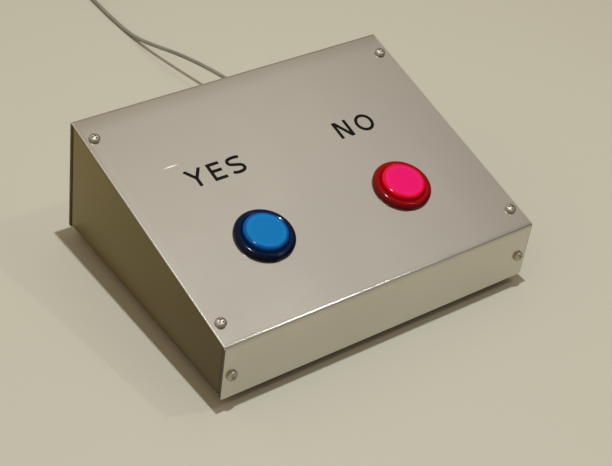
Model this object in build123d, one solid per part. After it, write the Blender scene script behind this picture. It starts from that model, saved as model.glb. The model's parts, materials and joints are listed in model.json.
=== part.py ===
from build123d import *
import math
import os

# A counter-top answer box: a bent aluminium cover over a dark sheet-metal pan, two sprung
# push buttons on the sloping panel, and a thin lead that leaves the back.
# Millimetres, +Z up, the front faces -Y, and the origin lies on the table under the middle.

# Case
case_width = 200.0
case_depth = 152.0
front_height = 35.5
back_height = 71.0
cover_sheet = 1.2
cover_bend = 0.5
corner_round = 2.0
pan_sheet = 1.2
pan_side_inset = 0.4
pan_seat_gap = 0.1
pan_floor_bend = 2.3
pan_edge_bend = 0.8
flange_reach = 13.0
lip_height = 6.0
relief_width = 2.0
relief_radius = 2.6

# Case screws and the nuts pressed into the pan's flanges
screw_shank = 3.0
screw_head = 6.0
screw_head_height = 2.4
screw_length = 7.0
screw_hole_clearance = 0.5
screw_side_inset = 5.6
screw_front_inset = 13.5
screw_back_inset = 15.8
side_screw_height = 15.0
clinch_nut_diameter = 6.4
clinch_nut_height = 3.0
thread_clearance = 0.1

# Feet
foot_height = 5.0
foot_top_diameter = 15.0
foot_bottom_diameter = 12.0
foot_inset_x = 22.0
foot_inset_y = 22.0
foot_seat_thickness = 2.2
small_shank = 2.9
small_head = 5.6
small_head_height = 1.9
small_nut_flats = 5.5
small_nut_height = 2.4
small_hole_clearance = 0.4

# Push buttons
button_spacing = 90.0
button_up_slope = 50.7
plunger_diameter = 24.0
barrel_wall = 1.6
barrel_hole_clearance = 0.4
barrel_length = 18.0
bezel_overhang = 1.6
bezel_height = 3.0
plunger_rise = 5.0
plunger_travel = 2.6
plunger_edge_round = 1.2
running_gap = 0.3
seat_clearance = 0.1
cap_wall = 1.3
cap_top = 1.5
core_wall = 1.2
core_top = 1.4
collar_width = 0.9
collar_height = 2.2
bore_step_depth = 4.1
stem_diameter = 5.0
stem_nose = 1.5
nut_wall = 3.2
nut_thickness = 5.0
nut_groove = 1.2
nut_groove_count = 12
holder_plate = 2.0
holder_spigot = 2.0
holder_ring_wall = 2.0
spring_diameter = 11.2
spring_wire = 0.8
spring_turns = 7

# Snap switch under each button
switch_length = 19.8
switch_width = 6.4
switch_height = 10.0
switch_end_margin = 1.9
lever_arm = 12.0
lever_tip = 1.2
lever_thickness = 0.4
lever_width = 4.0
lever_pivot_height = 0.9
pivot_radius = 0.5
pivot_clearance = 0.05
ear_thickness = 0.8
ear_gap = 0.2
pin_arm = 4.0
pin_radius = 1.0
pin_length = 4.0
pin_gap = 0.1
cheek_thickness = 1.5
cheek_height = 8.0
peg_radius = 1.1
peg_spacing = 9.5
tab_width = 2.8
tab_thickness = 0.5
tab_length = 6.3
tab_pitch = 8.0
sleeve_size = (5.0, 7.5, 7.0)

# Legends beside the buttons
legend_base_up = 91.7
letter_height = 11.7
letter_stroke = 1.8
letter_film = 0.15
yes_letter_gap = 3.3
no_letter_gap = 4.3
legend_outset = 0.7

# Terminal strip and wiring
strip_back_inset = 43.0
strip_depth = 18.0
strip_base_height = 9.0
strip_tower_height = 5.0
strip_tower_width = 5.2
pole_pitch = 11.0
pole_height = 5.2
barrel_tube_radius = 2.6
barrel_tube_bore = 1.7
clamp_screw_radius = 1.3
clamp_screw_length = 5.5
clamp_screw_setback = 4.5
wire_diameter = 1.3
core_diameter = 0.9
wire_entry = 3.0

# Lead
cable_diameter = 2.5
cable_exit_x = 52.0
cable_exit_height = 14.0
gland_flange_diameter = 13.0
gland_neck_diameter = 9.4
gland_flange_thickness = 2.0
gland_boot_length = 14.5
gland_boot_root = 7.6
gland_boot_tip = 4.4
gland_groove = 0.6
gland_groove_count = 4
tie_x = 29.0
tie_back_inset = 22.0
tie_pad = 12.0
tie_pad_height = 1.4
tie_bridge_width = 5.0
tie_bridge_length = 7.0
tie_bridge_height = 1.7
tie_band = 0.8
tie_band_width = 2.2
tie_head = 3.8
coil_centre = (52.0, 316.0)
coil_turn_diameter = 30.0
coil_pitch = 2.95
coil_layers = 4
coil_half_turns = 5
coil_last_half_turns = 4.5
plug_body_diameter = 8.0
plug_body_length = 17.0
plug_boot_length = 11.0
plug_boot_root = 6.0
plug_boot_tip = 3.6
jack_diameter = 3.5
jack_sleeve_length = 8.2
jack_band_length = 2.4
jack_ring_gap = 0.7
jack_tip_length = 3.0

half_width = case_width / 2
half_depth = case_depth / 2
case_floor = foot_height
slope = math.atan2(back_height - front_height, case_depth)
panel_length = math.hypot(case_depth, back_height - front_height)
pan_inset = cover_sheet + pan_seat_gap
pan_top = case_floor + pan_sheet
screw_x = half_width - screw_side_inset
button_x = button_spacing / 2
collar_radius = plunger_diameter / 2 + collar_width
wide_bore_radius = collar_radius + running_gap
barrel_radius = wide_bore_radius + barrel_wall
strip_y = half_depth - strip_back_inset
tie_y = half_depth - tie_back_inset
panel = Plane(
    origin=(0, -half_depth, case_floor + front_height),
    x_dir=(1, 0, 0),
    z_dir=(0, -math.sin(slope), math.cos(slope)),
)


def save(name, shape):
    export_step(shape, f"parts/{name}.step")


def group(solids):
    return Compound(list(solids))


def on_panel(x, up, out=0.0):
    return panel.location * Pos(x, up, out)


def on_front(x, height, out=0.0):
    return Pos(x, -half_depth - out, case_floor + height) * Rot(90, 0, 0)


def on_back(x, height, out=0.0):
    return Pos(x, half_depth + out, case_floor + height) * Rot(-90, 0, 0)


def rod(radius, low, high):
    """A cylinder on the Z axis from low to high."""
    return Pos(0, 0, low) * Cylinder(radius, high - low, align=(Align.CENTER, Align.CENTER, Align.MIN))


def block(low, high):
    """A box between two corners."""
    size = [b - a for a, b in zip(low, high)]
    return Pos(*low) * Box(*size, align=(Align.MIN, Align.MIN, Align.MIN))


def turned(points):
    """A closed (radius, height) outline turned about the Z axis."""
    return revolve(make_face(Plane.XZ * Polyline(*points, close=True)), Axis.Z)


def mirrored(shape, hand):
    """The right-hand button is modelled; the left-hand one is its mirror image."""
    return shape if hand > 0 else mirror(shape, Plane.YZ)


# Case

def wedge(inset, floor, width):
    """A solid wedge inside the case's outer planes, its top parallel to the panel."""
    front, back = -half_depth + inset, half_depth - inset

    def top(y):
        return case_floor + front_height + (y + half_depth) * math.tan(slope) - inset / math.cos(slope)

    corners = [(front, case_floor + floor), (back, case_floor + floor), (back, top(back)), (front, top(front))]
    return extrude(make_face(Plane.YZ * Polyline(*corners, close=True)), width / 2, both=True)


def case_screw_places():
    """Where the cover is screwed down: the panel's corners, and low on the front and back."""
    ups = (screw_front_inset, panel_length - screw_back_inset)
    tops = [on_panel(side * screw_x, up) for up in ups for side in (-1, 1)]
    fronts = [on_front(side * screw_x, side_screw_height) for side in (-1, 1)]
    backs = [on_back(side * screw_x, side_screw_height) for side in (-1, 1)]
    return tops, fronts, backs


def foot_places():
    x, y = half_width - foot_inset_x, half_depth - foot_inset_y
    return [Pos(sx * x, sy * y, case_floor) for sx in (-1, 1) for sy in (-1, 1)]


def strip_screw_places():
    return [Pos(side * pole_pitch / 2, strip_y, pan_top) for side in (-1, 1)]


def cover():
    """Front, sloping panel and back bent from one sheet, open at both sides and below."""
    outer = wedge(0, 0, case_width)
    outer = fillet(outer.edges().filter_by(Axis.X).group_by(Axis.Z)[1:], cover_bend + cover_sheet)
    inner = wedge(cover_sheet, -case_floor, case_width + 2)
    inner = fillet(inner.edges().filter_by(Axis.X).group_by(Axis.Z)[1:], cover_bend)
    shell = outer - inner
    shell = fillet(shell.edges().filter_by(Axis.Y).group_by(Axis.Z)[0], corner_round)
    for side in (-1, 1):
        shell -= on_panel(side * button_x, button_up_slope) * Cylinder(
            barrel_radius + barrel_hole_clearance / 2, 4 * cover_sheet)
    for place in sum(case_screw_places(), []):
        shell -= place * Cylinder((screw_shank + screw_hole_clearance) / 2, 4 * cover_sheet)
    shell -= on_back(cable_exit_x, cable_exit_height) * Cylinder(
        gland_neck_diameter / 2 + seat_clearance, 4 * cover_sheet)
    return shell


def rounded_wedge(inset, floor, width, floor_bend, edge_bend):
    body = wedge(inset, floor, width)
    low_sides = body.edges().filter_by(Axis.Y).group_by(Axis.Z)[0]
    body = fillet(low_sides, floor_bend)
    uprights = body.edges().filter_by(Axis.Z)
    slopes = body.edges().filter_by(lambda e: abs(e.tangent_at(0.5).X) < 0.01
                                    and abs(e.tangent_at(0.5).Y) > 0.5
                                    and e.center().Z > pan_top + front_height / 2)
    return fillet(list(uprights) + list(slopes), edge_bend)


def pan():
    """Floor and sides with flanges turned in behind the cover, and low lips front and back."""
    width = case_width - 2 * pan_side_inset
    body = rounded_wedge(pan_inset, 0, width, pan_floor_bend + pan_sheet, pan_edge_bend + pan_sheet)
    body -= rounded_wedge(pan_inset + pan_sheet, pan_sheet, width - 2 * pan_sheet, pan_floor_bend, pan_edge_bend)
    window = half_width - flange_reach
    depth = pan_inset + pan_sheet + 1
    body -= panel.location * block((-window, -depth, -depth), (window, panel_length + depth, 1))
    lip = pan_top + lip_height
    tall = case_floor + back_height
    for side in (-1, 1):
        body -= block((-window, min(side * half_depth, side * (half_depth - depth)), lip),
                      (window, max(side * half_depth, side * (half_depth - depth)), tall))
        for sx in (-1, 1):
            slot_x = sx * (window + relief_width / 2)
            body -= block((slot_x - relief_width / 2, min(side * half_depth, side * (half_depth - depth)),
                           case_floor + pan_floor_bend + pan_sheet),
                          (slot_x + relief_width / 2, max(side * half_depth, side * (half_depth - depth)),
                           lip + 1))
    reach = half_width - pan_side_inset - pan_edge_bend - pan_sheet
    ridge = pan_inset + pan_sheet / 2
    for up in (ridge, panel_length - ridge):
        for side in (-1, 1):
            notch = Rot(0, 90, 0) * Cylinder(relief_radius, reach - window + 1)
            body -= on_panel(side * (window - 1 + reach) / 2, up, -ridge) * notch
    folds = wedge(pan_inset, 0, width).edges().filter_by(Axis.X).group_by(Axis.Z)[1:]
    body &= fillet(folds, pan_edge_bend)
    for place in sum(case_screw_places(), []):
        hole = rod((screw_shank + thread_clearance) / 2, -pan_inset - 2 * pan_sheet, 0)
        body -= place * hole
    for place in foot_places() + strip_screw_places():
        body -= place * Cylinder((small_shank + small_hole_clearance) / 2, 4 * pan_sheet)
    return body


def pan_screw(shank, head, head_height, length):
    """Domed head on the XY plane with a cross recess, shank below."""
    rim = head_height * 0.4
    dome = make_face(Plane.XZ * (
        Line((0, 0), (head / 2, 0)) + Line((head / 2, 0), (head / 2, rim))
        + ThreePointArc((head / 2, rim), (head * 0.36, head_height * 0.86), (0, head_height))
        + Line((0, head_height), (0, 0))))
    body = revolve(dome, Axis.Z) + rod(shank / 2, -length, 0)
    slot = head * 0.14
    arm = head * 0.31
    depth = head_height * 0.55
    for angle in (0, 90):
        body -= Rot(0, 0, angle) * block((-arm, -slot / 2, head_height - depth), (arm, slot / 2, head_height + 1))
    return body - rod(slot * 0.75, head_height - depth * 1.3, head_height + 1)


def case_screw():
    return pan_screw(screw_shank, screw_head, screw_head_height, screw_length)


def clinch_nut():
    top = -pan_inset - pan_sheet
    ring = rod(clinch_nut_diameter / 2, top - clinch_nut_height, top)
    return ring - rod((screw_shank + thread_clearance) / 2, top - clinch_nut_height - 1, top + 1)


def hex_nut():
    """A small nut standing on the XY plane."""
    body = extrude(RegularPolygon(small_nut_flats / 2, 6, major_radius=False), small_nut_height)
    return body - rod((small_shank + thread_clearance) / 2, -1, small_nut_height + 1)


def make_case():
    tops, fronts, backs = case_screw_places()
    save("cover", cover())
    save("pan", pan())
    save("panel_screws", group(place * case_screw() for place in tops))
    save("front_screws", group(place * case_screw() for place in fronts))
    save("back_screws", group(place * case_screw() for place in backs))
    save("clinch_nuts", group(place * clinch_nut() for place in tops + fronts + backs))


# Feet

def foot():
    """A tapered rubber foot hanging from the XY plane, with a pocket for its screw's head."""
    body = turned([(0, 0), (foot_top_diameter / 2, 0), (foot_bottom_diameter / 2, -foot_height),
                   (0, -foot_height)])
    body = fillet(body.edges().sort_by(Axis.Z)[0], min(1.0, foot_height / 5))
    body -= rod(small_head / 2 + running_gap, -foot_height - 1, -foot_seat_thickness)
    return body - rod((small_shank + small_hole_clearance) / 2, -foot_height, 1)


def make_feet():
    length = foot_seat_thickness + pan_sheet + small_nut_height + 0.5
    screw = Pos(0, 0, -foot_seat_thickness) * Rot(180, 0, 0) * pan_screw(
        small_shank, small_head, small_head_height, length)
    save("rubber_feet", group(place * foot() for place in foot_places()))
    save("foot_screws", group(place * screw for place in foot_places()))
    save("foot_nuts", group(place * Pos(0, 0, pan_sheet) * hex_nut() for place in foot_places()))


# Push buttons, in a frame whose Z axis points out of the panel at the button's centre

bore_radius = plunger_diameter / 2 + running_gap
bezel_radius = barrel_radius + bezel_overhang
nut_radius = barrel_radius + nut_wall
collar_top = -bore_step_depth - running_gap
collar_bottom = collar_top - collar_height
core_face = plunger_rise - cap_top - seat_clearance
core_seat = core_face - core_top
holder_top = -barrel_length + holder_spigot
stop_top = collar_bottom - plunger_travel - running_gap
switch_top = -barrel_length - holder_plate
switch_bottom = switch_top - switch_height
lever_angle = plunger_travel / lever_arm
half_lever = lever_thickness / 2 / math.cos(lever_angle)
lever_top = lever_pivot_height + lever_arm * math.tan(lever_angle) + half_lever
nose_centre = switch_top + lever_top + (stem_nose + running_gap) / math.cos(lever_angle)
pin_lever_height = lever_pivot_height + pin_arm * math.tan(lever_angle) - half_lever
pin_dome_centre = switch_top + pin_lever_height - (pin_radius + pin_gap) / math.cos(lever_angle)
pin_travel = plunger_travel * pin_arm / lever_arm
pivot_x = -lever_arm
pin_x = pivot_x + pin_arm
switch_start = pivot_x - switch_end_margin
lever_slot = lever_width / 2 + ear_gap + ear_thickness + running_gap


def bezel():
    """Domed rim on the panel and the barrel below it, bored for the plunger and its collar."""
    crown = bore_radius + (bezel_radius - bore_radius) * 0.42
    rim_foot = bezel_height * 0.15
    inner_edge = bezel_height * 0.74
    outline = [
        Line((bore_radius, inner_edge), (bore_radius, -bore_step_depth)),
        Line((bore_radius, -bore_step_depth), (wide_bore_radius, -bore_step_depth)),
        Line((wide_bore_radius, -bore_step_depth), (wide_bore_radius, -barrel_length)),
        Line((wide_bore_radius, -barrel_length), (barrel_radius, -barrel_length)),
        Line((barrel_radius, -barrel_length), (barrel_radius, 0)),
        Line((barrel_radius, 0), (bezel_radius, 0)),
        Line((bezel_radius, 0), (bezel_radius, rim_foot)),
        ThreePointArc((bezel_radius, rim_foot),
                      (bezel_radius - (bezel_radius - crown) * 0.27, bezel_height * 0.79),
                      (crown, bezel_height)),
        ThreePointArc((crown, bezel_height), ((crown + bore_radius) / 2, bezel_height * 0.94),
                      (bore_radius, inner_edge)),
    ]
    return revolve(make_face(Plane.XZ * Curve(outline)), Axis.Z)


def ring_nut():
    """A grooved plastic ring that draws the barrel down from under the panel."""
    low = -cover_sheet - nut_thickness
    ring = rod(nut_radius, low, -cover_sheet)
    for index in range(nut_groove_count):
        groove = Pos(nut_radius, 0, 0) * rod(nut_groove, low - 1, 0)
        ring -= Rot(0, 0, index * 360 / nut_groove_count) * groove
    return ring - rod(barrel_radius + thread_clearance, low - 1, 0)


def plunger_cap():
    """A clear coloured cup, its flat top with a rounded edge."""
    radius = plunger_diameter / 2
    cup = rod(radius, collar_top, plunger_rise)
    cup = fillet(cup.edges().sort_by(Axis.Z)[-1], min(plunger_edge_round, cap_wall * 0.95))
    return cup - rod(radius - cap_wall, collar_top - 1, plunger_rise - cap_top)


def plunger_core():
    """The white inner plunger: a disc under the cap, a collar that stops it, and a stem."""
    radius = plunger_diameter / 2 - cap_wall - seat_clearance
    shell = rod(radius, collar_bottom, core_face) - rod(radius - core_wall, collar_bottom - 1, core_seat)
    collar = rod(collar_radius, collar_bottom, collar_top)
    collar -= rod(radius - core_wall, collar_bottom - 1, collar_top + 1)
    stem = rod(stem_diameter / 2, nose_centre + stem_nose, core_seat) + rod(stem_nose, nose_centre, core_seat)
    return shell + collar + stem + Pos(0, 0, nose_centre) * Sphere(stem_nose)


def biarc(p0, t0, p1, t1):
    """Two arcs that leave p0 along t0 and reach p1 along t1 with one tangent where they meet."""
    chord = p1 - p0
    twist = 2 * (1 - t0.dot(t1))
    along = chord.dot(t0 + t1)
    reach = (-along + math.sqrt(along * along + twist * chord.dot(chord))) / twist if twist > 1e-6 else (
        chord.dot(chord) / (2 * along))
    middle = (p0 + t0 * reach + p1 - t1 * reach) * 0.5
    back = Edge.make_tangent_arc(p1, t1 * -1, middle)
    return [Edge.make_tangent_arc(p0, t0, middle),
            Edge.make_three_point_arc(middle, back.position_at(0.5), p1)]


def wound_path(knots):
    """Arcs through knots, each a (position, direction) pair."""
    edges = []
    for (p0, t0), (p1, t1) in zip(knots, knots[1:]):
        edges += biarc(p0, t0.normalized(), p1, t1.normalized())
    return edges


def round_tube(path, diameter, label):
    """A round tube along a path; its volume is held against its section times its length."""
    start = Plane(origin=path.position_at(0), z_dir=path.tangent_at(0))
    tube = sweep(start * Circle(diameter / 2), path)
    ratio = tube.volume / (math.pi * diameter ** 2 / 4 * path.length)
    print(f"{label}: length {path.length:.1f} mm, volume ratio {ratio:.4f}")
    return tube


def least_gap(path, diameter, label, pitch_length):
    """The least clear distance between stretches of a wound tube, on points along it."""
    count = int(path.length / (diameter * 0.4))
    points = [path.position_at(i / count) for i in range(count + 1)]
    step = path.length / count
    skip = int(pitch_length / 2 / step)
    least = min((points[i] - points[j]).length
                for i in range(len(points)) for j in range(i + skip, len(points)))
    print(f"{label}: least gap between turns {least - diameter:.2f} mm")


def return_spring():
    """A steel coil spring round the stem, between the inner plunger and the switch holder."""
    low = holder_top + spring_wire / 2 + seat_clearance
    high = core_seat - spring_wire / 2 - seat_clearance
    radius = (spring_diameter - spring_wire) / 2
    climb = (high - low) / (2 * spring_turns * math.pi)
    knots = []
    for index in range(2 * spring_turns + 1):
        turn = index * math.pi
        knots.append((Vector(radius * math.cos(turn), radius * math.sin(turn), low + climb * turn),
                      Vector(-radius * math.sin(turn), radius * math.cos(turn), climb)))
    path = Wire(wound_path(knots))
    least_gap(path, spring_wire, "return spring", 2 * math.pi * radius)
    return round_tube(path, spring_wire, "return spring")


def switch_holder():
    """Closes the barrel, stops the plunger and carries the switch between two cheeks."""
    plate = rod(barrel_radius, switch_top, -barrel_length)
    spigot = rod(wide_bore_radius - seat_clearance, -barrel_length, holder_top)
    ring = rod(wide_bore_radius - seat_clearance, holder_top, stop_top)
    ring -= rod(wide_bore_radius - seat_clearance - holder_ring_wall, holder_top - 1, stop_top + 1)
    body = plate + spigot + ring
    body -= block((pivot_x - 1.4, -lever_slot, switch_top - 1),
                  (lever_tip + stem_nose, lever_slot, holder_top + 1))
    body -= rod(stem_nose + 2 * running_gap, switch_top - 1, holder_top + 1)
    inner = switch_width / 2 + seat_clearance
    length = math.sqrt(barrel_radius ** 2 - (inner + cheek_thickness) ** 2)
    start, end = max(switch_start, -length), min(switch_start + switch_length, length)
    for side in (-1, 1):
        low, high = sorted((side * inner, side * (inner + cheek_thickness)))
        body += block((start, low, switch_top - cheek_height), (end, high, switch_top))
    for x in peg_places():
        peg = Rot(-90, 0, 0) * rod(peg_radius, -inner, switch_width / 4)
        body += Pos(x, 0, switch_top - cheek_height * 0.7) * peg
    return body


def peg_places():
    middle = switch_start + switch_length / 2
    return (middle - peg_spacing / 2, middle + peg_spacing / 2)


def switch_body():
    """A snap switch's case, with its mounting holes, its pin's bore and two pivot ears."""
    body = block((switch_start, -switch_width / 2, switch_bottom),
                 (switch_start + switch_length, switch_width / 2, switch_top))
    body = fillet(body.edges().filter_by(Axis.Z), 0.6)
    for x in peg_places():
        hole = Rot(90, 0, 0) * Cylinder(peg_radius + seat_clearance, switch_width + 1)
        body -= Pos(x, 0, switch_top - cheek_height * 0.7) * hole
    inner = lever_width / 2 + ear_gap
    for side in (-1, 1):
        low, high = sorted((side * inner, side * (inner + ear_thickness)))
        ear = block((pivot_x - 1.1, low, switch_top),
                    (pivot_x + 1.1, high, switch_top + lever_pivot_height + 0.9))
        body += ear
    pivot = Pos(pivot_x, 0, switch_top + lever_pivot_height) * Rot(90, 0, 0)
    body -= pivot * Cylinder(pivot_radius + pivot_clearance, 2 * (inner + ear_thickness) + 1)
    lowest = pin_dome_centre - pin_length - pin_travel - running_gap
    return body - Pos(pin_x, 0, 0) * rod(pin_radius + pivot_clearance, lowest, switch_top + 1)


def switch_lever():
    """A thin blade on a cross pin, raised to the plunger's stem."""
    inner = lever_width / 2 + ear_gap
    blade = block((0, -lever_width / 2, -lever_thickness / 2),
                  ((lever_arm + lever_tip) / math.cos(lever_angle), lever_width / 2, lever_thickness / 2))
    pin = Rot(90, 0, 0) * Cylinder(pivot_radius, 2 * (inner + ear_thickness))
    place = Pos(pivot_x, 0, switch_top + lever_pivot_height)
    return place * (Rot(0, -math.degrees(lever_angle), 0) * blade + pin)


def switch_pin():
    pin = rod(pin_radius, pin_dome_centre - pin_length, pin_dome_centre)
    return Pos(pin_x, 0, 0) * (pin + Pos(0, 0, pin_dome_centre) * Sphere(pin_radius))


def tab_places():
    """Common under the pivot, then the two contacts."""
    return [pivot_x + index * tab_pitch for index in range(3)]


def switch_tabs():
    return [block((x - tab_thickness / 2, -tab_width / 2, switch_bottom - tab_length),
                  (x + tab_thickness / 2, tab_width / 2, switch_bottom)) for x in tab_places()]


def sleeve_places():
    """Sleeves go on the common tab and on the far contact's tab."""
    return tab_places()[0], tab_places()[-1]


def tab_sleeves():
    """Right-angled push-on sleeves; the wire leaves up the slope."""
    wide, deep, tall = sleeve_size
    top = switch_bottom - running_gap
    sleeves = []
    for x in sleeve_places():
        body = block((x - wide / 2, -deep / 2, top - tall), (x + wide / 2, deep / 2, top))
        body = fillet(body.edges(), 0.8)
        half_thick, half_wide = tab_thickness / 2 + seat_clearance, tab_width / 2 + seat_clearance
        body -= block((x - half_thick, -half_wide, top - tall + 0.6), (x + half_thick, half_wide, top + 1))
        sleeves.append(body)
    return sleeves


def make_button(colour, hand):
    place = on_panel(hand * button_x, button_up_slope)
    shapes = {
        "bezel": bezel(),
        "ring_nut": ring_nut(),
        "plunger_cap": plunger_cap(),
        "plunger_core": plunger_core(),
        "return_spring": return_spring(),
        "switch_holder": switch_holder(),
        "switch_body": switch_body(),
        "switch_lever": switch_lever(),
        "switch_pin": switch_pin(),
        "switch_tabs": group(switch_tabs()),
        "tab_sleeves": group(tab_sleeves()),
    }
    for name, shape in shapes.items():
        save(f"{colour}_{name}", place * mirrored(shape, hand))


# Legends, drawn as strokes of one width in a frame that starts at a letter's lower left

def stroke(*points):
    """A bar of the stroke's width between each pair of points, with square ends."""
    bars = []
    for (x0, y0), (x1, y1) in zip(points, points[1:]):
        length = math.hypot(x1 - x0, y1 - y0)
        turn = math.degrees(math.atan2(y1 - y0, x1 - x0))
        bars.append(Pos((x0 + x1) / 2, (y0 + y1) / 2) * Rot(0, 0, turn) * Rectangle(length, letter_stroke))
    return bars


def joined(faces):
    total = faces[0]
    for face in faces[1:]:
        total += face
    return total


def letter_y():
    wide = letter_height * 0.9
    half = letter_stroke / 2
    knee = (wide / 2, letter_height * 0.46)
    arms = stroke((half * 0.8, letter_height), knee) + stroke((wide - half * 0.8, letter_height), knee)
    strokes = joined(arms + stroke((wide / 2, 0), (wide / 2, knee[1] + half)))
    return strokes & Pos(wide / 2, letter_height / 2) * Rectangle(wide + 4, letter_height), wide


def letter_e():
    wide = letter_height * 0.68
    half = letter_stroke / 2
    bars = stroke((half, 0), (half, letter_height))
    for y, reach in ((half, wide), (letter_height * 0.53, wide * 0.91), (letter_height - half, wide * 0.97)):
        bars += stroke((0, y), (reach, y))
    return joined(bars), wide


def letter_s():
    """A spine of arcs through two bowls, thickened to the stroke."""
    wide = letter_height * 0.8
    half = letter_stroke / 2
    knots = [
        ((half, letter_height * 0.17), (0.8, -1)),
        ((wide * 0.47, half), (1, 0)),
        ((wide - half, letter_height * 0.28), (0, 1)),
        ((wide * 0.5, letter_height * 0.51), (-1, 0.3)),
        ((half, letter_height * 0.73), (0, 1)),
        ((wide * 0.53, letter_height - half), (1, 0)),
        ((wide * 0.93, letter_height * 0.855), (0.8, -1)),
    ]
    spine = wound_path([(Vector(*place), Vector(*ahead)) for place, ahead in knots])
    return trace(Wire(spine), letter_stroke), wide


def letter_n():
    wide = letter_height * 0.79
    half = letter_stroke / 2
    bars = stroke((half, 0), (half, letter_height)) + stroke((wide - half, 0), (wide - half, letter_height))
    diagonal = stroke((half * 0.9, letter_height + half), (wide - half * 0.9, -half))
    box = Pos(wide / 2, letter_height / 2) * Rectangle(wide, letter_height)
    return joined(bars + diagonal) & box, wide


def letter_o():
    wide = letter_height * 0.965
    centre = Pos(wide / 2, letter_height / 2)
    outer = Ellipse(wide / 2, letter_height / 2 * 1.02)
    inner = Ellipse(wide / 2 - letter_stroke, letter_height / 2 * 1.02 - letter_stroke)
    return centre * (outer - inner), wide


def legend(letters, gap, side):
    """Letters in a row above their button, a little outwards of its middle, cut from thin film."""
    total = sum(wide for _, wide in letters) + gap * (len(letters) - 1)
    x = side * (button_x + legend_outset) - total / 2
    solids = []
    for face, wide in letters:
        solids.append(on_panel(x, legend_base_up) * extrude(face, letter_film))
        x += wide + gap
    return group(solids)


def make_legends():
    save("legend_yes", legend([letter_y(), letter_e(), letter_s()], yes_letter_gap, -1))
    save("legend_no", legend([letter_n(), letter_o()], no_letter_gap, 1))


# Terminal strip and wiring

pole_z = pan_top + pole_height
poles = [(index - 1) * pole_pitch for index in range(3)]
strip_front = strip_y - strip_depth / 2
strip_back = strip_y + strip_depth / 2


def clamp_places():
    offset = strip_depth / 2 - clamp_screw_setback
    return [Pos(x, strip_y + side * offset, 0) for x in poles for side in (-1, 1)]


def strip_body():
    half = 1.5 * pole_pitch
    body = block((-half, strip_front, pan_top), (half, strip_back, pan_top + strip_base_height))
    base_top = pan_top + strip_base_height
    for x in poles:
        body += block((x - strip_tower_width / 2, strip_front + 1, base_top),
                      (x + strip_tower_width / 2, strip_back - 1, base_top + strip_tower_height))
    for x in poles:
        bore = Cylinder(barrel_tube_radius + seat_clearance, strip_depth + 1)
        body -= Pos(x, strip_y, pole_z) * Rot(90, 0, 0) * bore
    for place in clamp_places():
        body -= place * rod(clamp_screw_radius + seat_clearance, pole_z, pan_top + 2 * strip_base_height)
    for place in strip_screw_places():
        body -= place * rod((small_shank + small_hole_clearance) / 2, -1, strip_base_height + 1)
    return body


def strip_tubes():
    tubes = []
    for x in poles:
        tube = Pos(x, strip_y, pole_z) * Rot(90, 0, 0) * (
            Cylinder(barrel_tube_radius, strip_depth - 3) - Cylinder(barrel_tube_bore, strip_depth))
        for place in clamp_places():
            tube -= place * rod(clamp_screw_radius + seat_clearance / 2, pole_z,
                                pole_z + 2 * barrel_tube_radius)
        tubes.append(tube)
    return tubes


def clamp_screw():
    low = pole_z + wire_diameter / 2 + seat_clearance
    body = rod(clamp_screw_radius, low, low + clamp_screw_length)
    return body - block((-2, -0.25, low + clamp_screw_length - 0.8), (2, 0.25, low + clamp_screw_length + 1))


def arc_radii(points):
    """The largest radius that each corner's two runs allow."""
    radii = []
    for before, corner, after in zip(points, points[1:], points[2:]):
        one, two = Vector(*corner) - Vector(*before), Vector(*after) - Vector(*corner)
        half_turn = math.radians(one.get_angle(two)) / 2
        radii.append(0.45 * min(one.length, two.length) / math.tan(half_turn))
    return radii


def routed_tube(points, diameter, label):
    radii = arc_radii(points)
    path = FilletPolyline(*points, radius=radii)
    print(f"{label}: least bend radius {min(radii):.1f} mm of", ", ".join(f"{r:.0f}" for r in radii))
    return round_tube(path, diameter, label)


def button_wire(hand, sleeve_x, pole_x, side_step):
    """From a sleeve, down to the pan's floor and back to the strip's front."""
    wide, deep, tall = sleeve_size
    start = on_panel(hand * (button_x + sleeve_x), button_up_slope + deep / 2,
                     switch_bottom - running_gap - tall / 2).position
    leave = on_panel(hand * (button_x + sleeve_x), button_up_slope + deep / 2 + 6,
                     switch_bottom - running_gap - tall / 2).position
    end_x = pole_x + side_step
    gap_y = strip_front - leave.Y
    low = pan_top + 4.0
    middle_x = (start.X + end_x) / 2
    points = [
        tuple(start),
        tuple(leave),
        (start.X + (middle_x - start.X) * 0.35, leave.Y + gap_y * 0.24, low + 3.2),
        (middle_x, leave.Y + gap_y * 0.5, low),
        (end_x + (middle_x - end_x) * 0.3, leave.Y + gap_y * 0.72, low + 0.4),
        (end_x, strip_front - 1.5, pole_z),
        (end_x, strip_front + wire_entry, pole_z),
    ]
    return routed_tube(points, wire_diameter, "button wire")


def make_wiring():
    save("terminal_strip", strip_body())
    save("terminal_tubes", group(strip_tubes()))
    save("clamp_screws", group(place * clamp_screw() for place in clamp_places()))
    length = strip_base_height + pan_sheet + small_nut_height + 0.5
    screw = Pos(0, 0, strip_base_height) * pan_screw(small_shank, small_head, small_head_height, length)
    save("strip_screws", group(place * screw for place in strip_screw_places()))
    nut = Pos(0, 0, -pan_sheet - small_nut_height) * hex_nut()
    save("strip_nuts", group(place * nut for place in strip_screw_places()))
    common, contact = sleeve_places()
    beside = wire_diameter * 0.6
    save("common_wires", group([button_wire(-1, common, 0, -beside), button_wire(1, common, 0, beside)]))
    save("blue_wire", button_wire(-1, contact, poles[0], 0))
    save("red_wire", button_wire(1, contact, poles[2], 0))


# Lead

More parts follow.
